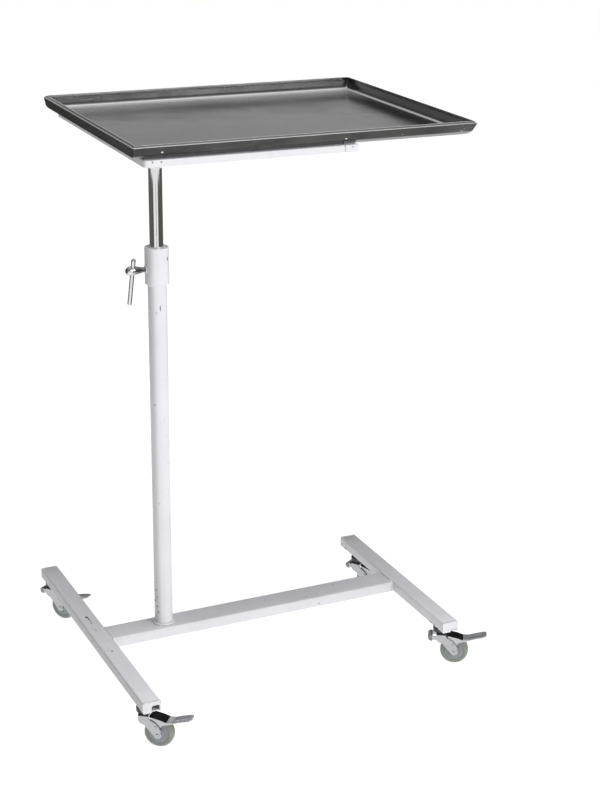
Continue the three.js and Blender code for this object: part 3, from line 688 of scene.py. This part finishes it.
# mast foot weld, post, collar
ring = [(17.1 * math.cos(a), 17.1 * math.sin(a), 95.0 + 0.5 * math.sin(3 * a + 1)) for a in [2 * PI * k / 170 for k in range(170)]]
obj("post_weld", bead(ring, 2.3, closed=True, seed=1.4, squash=0.95, lump=0.5, step=4.2, n=12), place, P_WELD, "base", ["post_weld_bead"], sharp=60)
prof = [(14, 93.3), (16, 93.3)] + [(16, 93.3 + (742 - 93.3) * k / 24) for k in range(1, 24)] + [(16, 742), (14, 742)]
obj("post", lathe(prof, 128, True, wob=0.10), place, P_POST, "base", ["outer_post_tube"])
cp = fillet([(16.25, 723.8), (20.4, 723.8), (20.4, 787), (11.9, 787), (11.9, 781.5), (14.5, 781.5), (14.5, 743), (16.25, 742.4)],
            [0.3, 0.9, 1.0, 0.5, 0.1, 0.1, 0.1, 0.1], 5)
obj("collar", lathe(cp, 128, True, wob=0.12), place, P_COLLAR, "base", ["clamp_collar"])
obj("bush", lathe(fillet([(11.7, 744), (14.2, 744), (14.2, 781.2), (11.7, 781.2)], 0.3, 3), 96, True), place, NYLON, "base", ["guide_bush"])
m = bead(arc(0, 0, 722.8, 16.9, math.radians(150), math.radians(262)), 1.35, seed=4.4, squash=0.9, lump=0.5)
for c0, r0, sd in (((-20.35, 0.5, 773.5), 1.1, 1.0), ((-20.3, 1.5, 758.7), 1.0, 2.0)):
    q = bead([(c0[0] + 0.3, c0[1] - 1.5 + t * 0.3, c0[2]) for t in range(11)], r0, seed=sd)
    m.add(q.v, q.f)
obj("collar_weld", m, place, P_WELD, "base", sharp=60)
# welded boss that the clamp screw runs in
obj("clamp_boss_weld", bead([(-20.3, 5.6 * math.cos(a), 749.6 + 5.6 * math.sin(a)) for a in [2 * PI * k / 60 for k in range(60)]], 0.9, closed=True, seed=6.6), place, P_WELD, "base", sharp=60)

# ------------------------------------------------------------------ clamp
T17 = math.radians(17)


def tilt(p):
    x, y, z = p
    return (x - 43, y * math.cos(T17) - z * math.sin(T17), y * math.sin(T17) + z * math.cos(T17) + 749.6)


prof = [(0, 14.6), (3.5, 14.6), (3.9, 15.0), (3.9, 21.5)] + fillet([(3.9, 21.5), (4.2, 23), (5.2, 29), (6.9, 36), (7.8, 41), (8.1, 45.5), (7.6, 49.6), (6, 52.9), (3.2, 55), (0, 55.5)], 3.0, 4, False)[1:]
obj("clamp_screw_v", lathe(prof, 64).move(along("x", (0, 0, 749.6), -1)), place, CHROME_DARK_SIDES, "clamp", ["clamp_screw"])
prof = fillet([(0, -66), (3.2, -66), (3.7, -65), (3.7, 19.8), (3.1, 22), (0, 22.5)], [0, 0.9, 1.2, 1.5, 1.2, 0], 5, False)
obj("clamp_bar_v", lathe(prof, 64).move(tilt), place, CHROME_DARK_SIDES, "clamp", ["clamp_tommy_bar"])
obj("clamp_pad_v", lathe(fillet([(0, 12.05), (3.7, 12.05), (3.7, 14.3), (0, 14.3)], [0, 0.4, 0.4, 0], 4, False), 48).move(along("x", (0, 0, 749.6), -1)), place, BLACK, "clamp", ["clamp_pressure_pad"])

# ------------------------------------------------------------------ mast and table frame
prof = fillet([(9.9, 482), (11.4, 482), (11.4, 922.2), (9.9, 922.2)], 0.3, 3)
obj("mast", lathe(prof, 128, True), place_top, CHROME, "table_top", ["inner_mast_tube"])
prof = fillet([(0, 448), (12.6, 448), (13.6, 449), (13.6, 481.7), (9.6, 481.7), (9.6, 497.7), (0, 498.7)], [0, 0.5, 0.5, 0.6, 0.3, 0.8, 0], 3, False)
obj("glide", lathe(prof, 96), place, NYLON, "mast_glide", ["glide_plug"])

X0, X1, Y0, FW, Z0, FH = -23.6, 362.7, -14.2, 25, 922.6, 12.5
out = [(X1 - FW - 0.3, Y0), (X1 - FW - 0.3, Y0 + FW), (X0, Y0 + FW)] + [(X0 + 7 + 7 * math.cos(PI + PI / 2 * k / 10), Y0 + 7 + 7 * math.sin(PI + PI / 2 * k / 10)) for k in range(11)]
obj("front_rail", slab(out, Z0, Z0 + FH, "xy"), place_top, P_FRAME, "table_top", ["frame_front_rail"], bevel=1.9, segs=6)
obj("left_rail", tube("y", Y0 + FW + 0.3, 478, X0 + FW / 2, Z0, FW, FH, 1.5, 2.2), place_top, P_FRAME, "table_top", ["frame_left_rail"])
obj("right_rail", tube("y", Y0 + 2.3, 478, X1 - FW / 2, Z0, FW, FH, 1.5, 2.2), place_top, P_FRAME, "table_top", ["frame_right_rail"])
obj("back_rail", tube("x", X0 + FW + 0.3, X1 - FW - 0.3, 478 - FW / 2, Z0, FW, FH, 1.5, 2.2), place_top, P_FRAME, "table_top", ["frame_back_rail"])
obj("rail_end", slab([(p[0] + X1 - FW / 2, p[1] + Z0 + FH / 2) for p in rrect(FW, FH, 2.2, 6)], Y0, Y0 + 2.0), place_top, P_FRAME, "table_top", ["frame_end_plate"], bevel=0.5, segs=3)
# weld runs of the frame: rail corners and the mast head
m = M()
for k, (a, b) in enumerate((((X0 + 1.5, Y0 + FW + 0.15, Z0 + 0.1), (X0 + FW - 1, Y0 + FW + 0.15, Z0 + 0.1)),
                            ((X1 - FW - 0.15, Y0 + 2, Z0 + 0.1), (X1 - FW - 0.15, Y0 + FW - 2, Z0 + 0.1)),
                            ((X0 + FW + 0.15, 478 - FW + 2, Z0 + 0.1), (X0 + FW + 0.15, 476, Z0 + 0.1)),
                            ((X1 - FW - 0.15, 478 - FW + 2, Z0 + 0.1), (X1 - FW - 0.15, 476, Z0 + 0.1)))):
    q = bead(line(a, b), 1.2, seed=11.0 + k, squash=0.45)
    m.add(q.v, q.f)
q = bead([(12.4 * math.cos(a), 12.4 * math.sin(a), 921.6) for a in [2 * PI * k / 110 for k in range(110)]], 1.25, closed=True, seed=15.0, squash=0.8, lump=0.4)
m.add(q.v, q.f)
obj("frame_welds", m, place_top, P_WELD, "table_top", sharp=60)

# ------------------------------------------------------------------ tray
TX0, TX1, TY0, TY1, TZ0, TZ1 = -41.7, 592.4, -16.2, 509.4, 935.4, 955.9
FL = {"l": 2.5, "r": 9, "f": 9, "b": 9}
CREST, LEAN, LAND, SHEET = 4.0, 4.6, 1.6, 1.4
SIDE_N, CORN = 46, 6


def side_in(side, z, plus=0.0):
    return FL[side] * (TZ1 - z) / (TZ1 - TZ0) + plus


def tray_loop(ins, z, r, taper=None):
    """a rounded rectangle moved in from the tray's outer edge; taper lowers and widens it near the corners"""
    x0, x1, y0, y1 = TX0 + ins["l"], TX1 - ins["r"], TY0 + ins["f"], TY1 - ins["b"]
    cs = [(x0 + r, y0 + r, 180), (x1 - r, y0 + r, 270), (x1 - r, y1 - r, 0), (x0 + r, y1 - r, 90)]
    ext = [(TX0, TY0), (TX1, TY0), (TX1, TY1), (TX0, TY1)]
    pts = []
    for c in range(4):
        cx, cy, a0 = cs[c]
        for k in range(CORN + 1):
            a = math.radians(a0 + 90 * k / CORN)
            pts.append([cx + r * math.cos(a), cy + r * math.sin(a), z, c])
        nx, ny, na = cs[(c + 1) % 4]
        p = pts[-1]
        b = math.radians(na)
        q = (nx + r * math.cos(b), ny + r * math.sin(b))
        L = math.hypot(q[0] - p[0], q[1] - p[1])
        for k in range(1, SIDE_N):
            t = k / SIDE_N
            t = t - 0.10 * math.sin(2 * PI * t)          # closer together near the corners
            x, y = p[0] + (q[0] - p[0]) * t, p[1] + (q[1] - p[1]) * t
            w = 0.22 * noise.noise(Vector((x * 0.012, y * 0.012, 3.3))) * math.sin(PI * t)
            if c in (0, 2):
                y += w
            else:
                x += w
            pts.append([x, y, z, c])
    if taper:
        dz, push = taper
        for p in pts:
            d = min(math.hypot(p[0] - e[0], p[1] - e[1]) for e in ext)
            k = max(0.0, min(1.0, (d - 6.0) / 9.0))
            k = k * k * (3 - 2 * k)
            e = min(ext, key=lambda e: math.hypot(p[0] - e[0], p[1] - e[1]))
            p[2] -= dz * (1 - k)
            p[0] += (e[0] - p[0]) * push * (1 - k)
            p[1] += (e[1] - p[1]) * push * (1 - k)
    return [(p[0], p[1], p[2]) for p in pts]


def ins_at(z, plus=0.0):
    return {s: side_in(s, z, plus) for s in FL}


def even(v):
    return {s: v for s in FL}


loops = []
# underside support, outer bend, outer wall, hem slope, crest, hem return, inner wall, inner bend, floor
RB = 7.4
loops.append(tray_loop(ins_at(TZ0, RB + 3.0), TZ0, 6))
for k in range(9):
    a = PI / 2 * k / 8
    z = TZ0 + RB * (1 - math.cos(a))
    loops.append(tray_loop(ins_at(z, RB * (1 - math.sin(a))), z, max(0.6, 5.0 * (1 - k / 8.0) + 0.8)))
for z in (945.5, 948.5, 951.5, 954.2):
    loops.append(tray_loop(ins_at(z), z, 0.8))
loops.append(tray_loop(ins_at(955.2), 955.2, 0.8))
loops.append(tray_loop(even(0.0), 955.75, 0.9))
loops.append(tray_loop(even(0.15), 956.1, 0.9))
for t in (0.12, 0.35, 0.6, 0.85):
    loops.append(tray_loop(even(0.25 + (LEAN - 0.25) * t), TZ1 + CREST * t, 0.9, (CREST * t * 0.30, 0.30 * t)))
loops.append(tray_loop(even(LEAN - 0.25), TZ1 + CREST - 0.12, 1.0, (CREST * 0.30, 0.30)))
loops.append(tray_loop(even(LEAN + 0.15), TZ1 + CREST, 1.0, (CREST * 0.30, 0.30)))
loops.append(tray_loop(even(LEAN + LAND - 0.5), TZ1 + CREST, 1.1, (CREST * 0.30, 0.30)))
loops.append(tray_loop(even(LEAN + LAND), TZ1 + CREST - 0.35, 1.2, (CREST * 0.28, 0.28)))
zk = TZ1 - 2.6
loops.append(tray_loop({s: (side_in(s, zk, SHEET) + LEAN + LAND) / 2 for s in FL}, TZ1 + 0.6, 1.4, (0.5, 0.1)))
for z in (zk, 950.2, 947.0, 944.6):
    loops.append(tray_loop(ins_at(z, SHEET), z, 1.8))
RI = 6.2
for k in range(9):
    a = PI / 2 * (1 - k / 8)
    z = TZ0 + SHEET + RI * (1 - math.cos(a))
    loops.append(tray_loop(ins_at(z, SHEET + RI * (1 - math.sin(a))), z, 2.0 + 4.0 * k / 8))
loops.append(tray_loop(ins_at(TZ0 + SHEET, SHEET + RI + 2.5), TZ0 + SHEET, 7))
loops.append(tray_loop(ins_at(TZ0 + SHEET, SHEET + RI + 9), TZ0 + SHEET, 9))
n = len(loops[0])
v = [p for L in loops for p in L]
f = []
for i in range(len(loops) - 1):
    for k in range(n):
        l = (k + 1) % n
        f.append((i * n + k, i * n + l, (i + 1) * n + l, (i + 1) * n + k))
f.append(tuple(range(n - 1, -1, -1)))
f.append(tuple(range((len(loops) - 1) * n, len(loops) * n)))
obj("tray_v", M().add(v, f), place_top, TRAY_M, "table_top", ["tray"], sharp=50)

# ------------------------------------------------------------------ castors
TAIL = {"front_left": False, "front_right": True, "rear_left": True, "rear_right": True}
AX, AZ = 25.0, 25.4
for cid, tail in TAIL.items():
    cp_ = castor_place(cid)
    N = "castor_%s_" % cid
    B = {"fork": cid + "_fork", "wheel": cid + "_wheel", "brake": cid + "_brake"}
    prof = fillet([(0, 55.4), (7.4, 55.8), (7.4, 58.4), (5.2, 58.8), (5.2, 62.2), (15, 62.6), (15, 70.2), (12.4, 73.4), (9.4, 74.2), (5.2, 74.2), (5.2, 90.2), (4.4, 91), (0, 91)],
                  [0, 0.8, 0.8, 0.2, 0.2, 0.9, 1.6, 0.8, 0.3, 0.2, 0.3, 0.3, 0], 4, False)
    obj(N + "stem_v", lathe(prof, 72), cp_, ZINC_PAINTED_SHADE, "base", [N + "stem"])
    hexa = [(9.2 * math.cos(PI / 6 + k * PI / 3), 9.2 * math.sin(PI / 6 + k * PI / 3)) for k in range(6)]
    obj(N + "nut_v", slab(hexa, 76.8, 84.3, "xy"), cp_, ZINC_PAINTED_SHADE, "base", [N + "nut"], bevel=0.7, segs=3)

    # fork
    tip = [(AX + 7 * math.cos(math.radians(-158 + 196 * i / 14)), AZ + 7 * math.sin(math.radians(-158 + 196 * i / 14))) for i in range(15)]
    leg = fillet([(-8.2, 58.4), (-8.2, 50), (-6.8, 46), (-3, 43.6), (2.4, 41.7), (13.1, 30.5)], [0, 6, 6, 6, 8, 4], 6, False)[:-1]
    leg += tip
    leg += fillet([tip[-1], (31.2, 33.5), (27, 41), (20.7, 47.5), (12.5, 52), (9.5, 56), (9.5, 58.4)], [0, 2, 7, 7, 5, 3, 0], 5, False)[1:]
    m = slab(leg, 12, 14.2)
    q = slab(leg, -14.2, -12)
    m.add(q.v, q.f)
    oU = fillet([(-14.2, 58.4), (-14.2, 61.8), (14.2, 61.8), (14.2, 58.4)], [0, 3.0, 3.0, 0], 7, False)
    iU = fillet([(12.0, 58.4), (12.0, 59.4), (-12.0, 59.4), (-12.0, 58.4)], [0, 0.9, 0.9, 0], 4, False)
    q = slab(oU + iU, -8.2, 9.5)
    q.move(lambda p: (p[1], p[0], p[2]))
    # the fork web takes the near-black cover metal: painted dark reflection
    obj(N + "fork_web", q, cp_, COVER_PAINTED_DARK, B["fork"], bevel=0.4, segs=3)
    obj(N + "fork_v", m, cp_, ZINC, B["fork"], [N + "fork"], bevel=0.45, segs=3)

    # wheel
    w, R = 9.5, 25.4
    prof = fillet([(17.4, -w + 0.3), (21.4, -w), (24.5, -w + 2.8), (25.4, -4), (25.4, 4), (24.5, w - 2.8), (21.4, w), (17.4, w - 0.3)],
                  [0.4, 1.6, 2.0, 2.5, 2.5, 2.0, 1.6, 0.4], 5)
    obj(N + "tyre_v", lathe(prof, 112, True).move(along("y", (AX, 0, AZ))), cp_, TYRE, B["wheel"], [N + "tyre"])
    half = [(3.3, 9.8), (6.0, 9.8), (6.8, 8.6), (8.6, 8.0), (9.2, 7.3), (10.2, 7.3), (10.8, 8.0), (12.6, 8.0), (15.2, 8.4), (17.1, 8.8)]
    prof = fillet(half + [(r_, -z_) for r_, z_ in reversed(half)], [0.2, 0.6, 0.5, 0.4, 0.3, 0.3, 0.4, 1.0, 1.0, 0.5] * 2, 3)
    obj(N + "hub_v", lathe(prof, 96, True).move(along("y", (AX, 0, AZ))), cp_, HUB, B["wheel"], [N + "hub"])
    prof = fillet([(0, -15.6), (2.2, -15.4), (3.0, -14.6), (3.0, 14.6), (2.2, 15.4), (0, 15.6)], [0, 0.9, 0.8, 0.8, 0.9, 0], 4, False)
    obj(N + "axle_v", lathe(prof, 48).move(along("y", (AX, 0, AZ))), cp_, ZINC, B["fork"], [N + "axle"])
    for s, nm in ((1, "rivet_a"), (-1, "rivet_b")):
        prof = fillet([(0, 10.0), (1.6, 10.0), (1.6, 14.3), (2.8, 14.3), (2.5, 15.0), (0, 15.5)], [0, 0.1, 0.1, 0.2, 0.6, 0], 4, False)
        obj(N + nm + "_v", lathe(prof, 40).move(along("y", (22, 0, 40), s)), cp_, ZINC, B["fork"], [N + nm])

    # brake lever
    i_, o_ = 10.1, 11.7
    side = fillet([(17, 36), (22, 34.6), (27, 36), (33.5, 43.2), (42, 45.6), (49, 47.6), (51.5, 50.3), (50, 50.2), (40, 49.8), (30, 53.1), (12.5, 56.7), (12.5, 53.6), (17, 45)],
                  [2, 5, 2, 5, 5, 3, 0.4, 6, 8, 8, 0.3, 1, 2], 4)
    tops = fillet([(10.4, 58.2), (12.5, 57.2), (30, 53.6), (40, 50.2), (50, 50.6), (62, 54.5), (81, 59.4)], [0, 2, 10, 12, 12, 12, 0], 8, False)
    cut = min(range(len(tops)), key=lambda k: abs(tops[k][0] - 40.5))
    under = [(p[0] + 0.1, p[1] - 1.6) for p in reversed(tops[:cut + 1])]
    m = slab(side, i_, o_ - 0.05)
    q = slab(side, -o_ + 0.05, -i_)
    m.add(q.v, q.f)
    obj(N + "brake_cover", slab(tops[:cut + 1] + under, -o_ + 0.02, o_ - 0.02), cp_, COVER_PAINTED_DARK, B["brake"], bevel=0.5, segs=3)
    # pedal: stations along the top curve, each a shallow channel with turned-down lips
    line_ = [tops[cut]]
    for k in range(cut + 1, len(tops)):
        p0, p1 = tops[k - 1], tops[k]
        d_ = math.hypot(p1[0] - p0[0], p1[1] - p0[1])
        steps = max(1, int(d_ / 1.6))
        line_ += [(p0[0] + (p1[0] - p0[0]) * j / steps, p0[1] + (p1[1] - p0[1]) * j / steps) for j in range(1, steps + 1)]
    line_ += [(81.8, 59.45), (82.5, 59.2), (82.9, 58.7)]
    v_, f_ = [], []
    for (x_, z_) in line_:
        t_ = max(0.0, min(1.0, (x_ - 43) / 12))
        h_ = 11.7 - 0.5 * t_ * t_ * (3 - 2 * t_)
        if x_ > 76.5:
            u_ = min(1.0, (x_ - 76.5) / 6.45)
            h_ *= 0.50 + 0.50 * math.sqrt(max(0.0, 1 - u_ * u_))
        lip = 4.6 - 2.3 * t_ if x_ < 80 else 2.0
        # pressed rib down the middle of the pad
        rb = 0.55 * max(0.0, min(1.0, (x_ - 50) / 3)) * max(0.0, min(1.0, (77 - x_) / 3))
        sec = [(-h_, z_ - lip), (-h_, z_ - 1.0), (-h_ + 0.3, z_ - 0.35), (-h_ + 1.0, z_), (-h_ * 0.62, z_), (-h_ * 0.52, z_ - rb), (h_ * 0.52, z_ - rb), (h_ * 0.62, z_),
               (h_ - 1.0, z_), (h_ - 0.3, z_ - 0.35), (h_, z_ - 1.0), (h_, z_ - lip), (h_ - 1.3, z_ - lip), (h_ - 1.3, z_ - 1.7), (-h_ + 1.3, z_ - 1.7), (-h_ + 1.3, z_ - lip)]
        v_ += [(x_, a, b) for a, b in sec]
    ns_ = 16
    for i2 in range(len(line_) - 1):
        for k in range(ns_):
            l = (k + 1) % ns_
            f_.append((i2 * ns_ + k, i2 * ns_ + l, (i2 + 1) * ns_ + l, (i2 + 1) * ns_ + k))
    f_.append(tuple(range(ns_ - 1, -1, -1)))
    f_.append(tuple(range((len(line_) - 1) * ns_, len(line_) * ns_)))
    obj(N + "pedal", M().add(v_, f_), cp_, ZINC_B, B["brake"], sharp=48)
    if tail:
        arm = fillet([(17, 44), (17, 49.5), (9, 53.2), (-12, 54.6), (-20.5, 56.2), (-23.6, 53), (-21.9, 46.6), (-16.6, 44.6), (-14.2, 47), (-8, 47.5), (9, 46)],
                     [1, 1.5, 4, 4, 2.5, 2, 2, 2, 2, 3, 3], 4)
        heel = fillet([(-15.6, 45), (-14.8, 48.8), (-15.6, 55.2), (-20.5, 56.4), (-23.8, 53), (-22, 46.5), (-16.6, 44.4)], [0.5, 1, 1, 2.6, 2.0, 2, 1], 5)
        for q in (slab(arm, i_, o_ - 0.05), slab(arm, -o_ + 0.05, -i_)):
            m.add(q.v, q.f)
        obj(N + "heel", slab(heel, -o_, o_), cp_, HEEL_PAINTED_SHADE, B["brake"], bevel=1.0, segs=4)
    obj(N + "brake_v", m, cp_, ZINC_B, B["brake"], [N + "brake_pedal"], bevel=0.4, segs=3)

# ------------------------------------------------------------------ stage
def stage_mat(name, base, rough, emit=0.0):
    g = G(name, spec=0.2)
    a = g.noise(1.3, 4, 0.5)
    g.set("Base Color", g.mix(g.range(a, 0.3, 0.7), base, tuple(c * 0.985 for c in base)))
    g.set("Roughness", rough)
    if emit:
        g.b.inputs["Emission Color"].default_value = (1, 1, 1, 1)
        g.b.inputs["Emission Strength"].default_value = emit
    return g.m


me = bpy.data.meshes.new("floor")
S = 45.0
me.from_pydata([(-S, -S, 0), (S, -S, 0), (S, S, 0), (-S, S, 0)], [], [(0, 1, 2, 3)])
floor = bpy.data.objects.new("floor", me)
scene.collection.objects.link(floor)
me.materials.append(stage_mat("floor_pale", (0.30, 0.30, 0.30), 0.9, 0.90))


def card(name, centre, towards, w, h, mat):
    c = Vector(centre)
    z = (Vector(towards) - c).normalized()
    x = Vector((0, 0, 1)).cross(z).normalized()
    y = z.cross(x)
    me = bpy.data.meshes.new(name)
    me.from_pydata([c - x * w / 2 - y * h / 2, c + x * w / 2 - y * h / 2, c + x * w / 2 + y * h / 2, c - x * w / 2 + y * h / 2], [], [(0, 1, 2, 3)])
    o = bpy.data.objects.new(name, me)
    scene.collection.objects.link(o)
    me.materials.append(mat)
    o.visible_camera = False
    return o


FLAG = stage_mat("flag_dark", (0.10, 0.095, 0.085), 0.9)
for k, az in enumerate((-55, -20, 15, 50, 86, 124, 160, 195)):
    a_ = math.radians(az)
    c_ = card("flag_%d" % k, (MX + 1.55 * math.cos(a_), MY + 1.55 * math.sin(a_), 0.46), (MX, MY, 0.46), 1.05, 0.90, FLAG)
    c_.visible_diffuse = False
    c_.visible_shadow = False
a_ = math.radians(-107)
c_ = card("flag_slat", (MX + 1.6 * math.cos(a_), MY + 1.6 * math.sin(a_), 0.46), (MX, MY, 0.46), 0.20, 0.90, FLAG)
c_.visible_diffuse = False
c_.visible_shadow = False


def area(name, pos, target, w, h, power, spec=1.0):
    L = bpy.data.lights.new(name, "AREA")
    L.shape = "RECTANGLE"
    L.size, L.size_y = w, h
    L.energy = power
    L.specular_factor = spec
    o = bpy.data.objects.new(name, L)
    scene.collection.objects.link(o)
    o.location = pos
    d = (Vector(target) - Vector(pos)).normalized()
    o.rotation_euler = d.to_track_quat("-Z", "Y").to_euler()
    return o


area("key", (0.9, -3.1, 2.2), (0, 0, 0.5), 2.0, 1.6, 51)
area("top", (0.2, 0.2, 3.4), (0, 0, 0.4), 1.6, 1.6, 50).visible_glossy = False

world = bpy.data.worlds.new("studio")
scene.world = world
world.use_nodes = True
nt = world.node_tree
nt.nodes.clear()
wo = nt.nodes.new("ShaderNodeOutputWorld")
bg = nt.nodes.new("ShaderNodeBackground")
nt.links.new(bg.outputs[0], wo.inputs[0])
tc = nt.nodes.new("ShaderNodeTexCoord")
sx = nt.nodes.new("ShaderNodeSeparateXYZ")
nt.links.new(tc.outputs["Generated"], sx.inputs[0])
rp = nt.nodes.new("ShaderNodeValToRGB")
nt.links.new(sx.outputs["Z"], rp.inputs[0])
els = rp.color_ramp.elements
els[0].position, els[0].color = 0.0, (1.0, 1.0, 1.0, 1)
els[1].position, els[1].color = 1.0, (0.60, 0.60, 0.61, 1)
for pos, val in ((0.11, 0.97), (0.155, 0.72), (0.20, 0.34), (0.30, 0.20), (0.55, 0.17), (0.75, 0.26)):
    e = els.new(pos)
    e.color = (val, val, val * 1.01, 1)
nt.links.new(rp.outputs[0], bg.inputs["Color"])
bg.inputs["Strength"].default_value = 1.0

# ------------------------------------------------------------------ camera
YAW, PITCH, ROLL = math.radians(-25.27), math.radians(19.74), math.radians(0.58)
fwd = Vector((-math.sin(YAW) * math.cos(PITCH), math.cos(YAW) * math.cos(PITCH), -math.sin(PITCH)))
right = Vector((math.cos(YAW), math.sin(YAW), 0))
up = right.cross(fwd)
Rv = math.cos(ROLL) * right + math.sin(ROLL) * up
Uv = -math.sin(ROLL) * right + math.cos(ROLL) * up
cam = bpy.data.cameras.new("camera")
cam.sensor_fit = "AUTO"
cam.sensor_width = 36
cam.lens = 76.54
cam.clip_end = 200
co = bpy.data.objects.new("camera", cam)
scene.collection.objects.link(co)
m3 = Matrix((Rv, Uv, -fwd)).transposed()
co.matrix_world = Matrix.Translation(Vector((-1.18290, -2.69093, 1.50297))) @ m3.to_4x4()
scene.camera = co
scene.view_settings.view_transform = "Standard"
scene.view_settings.look = "None"

bpy.context.view_layer.update()
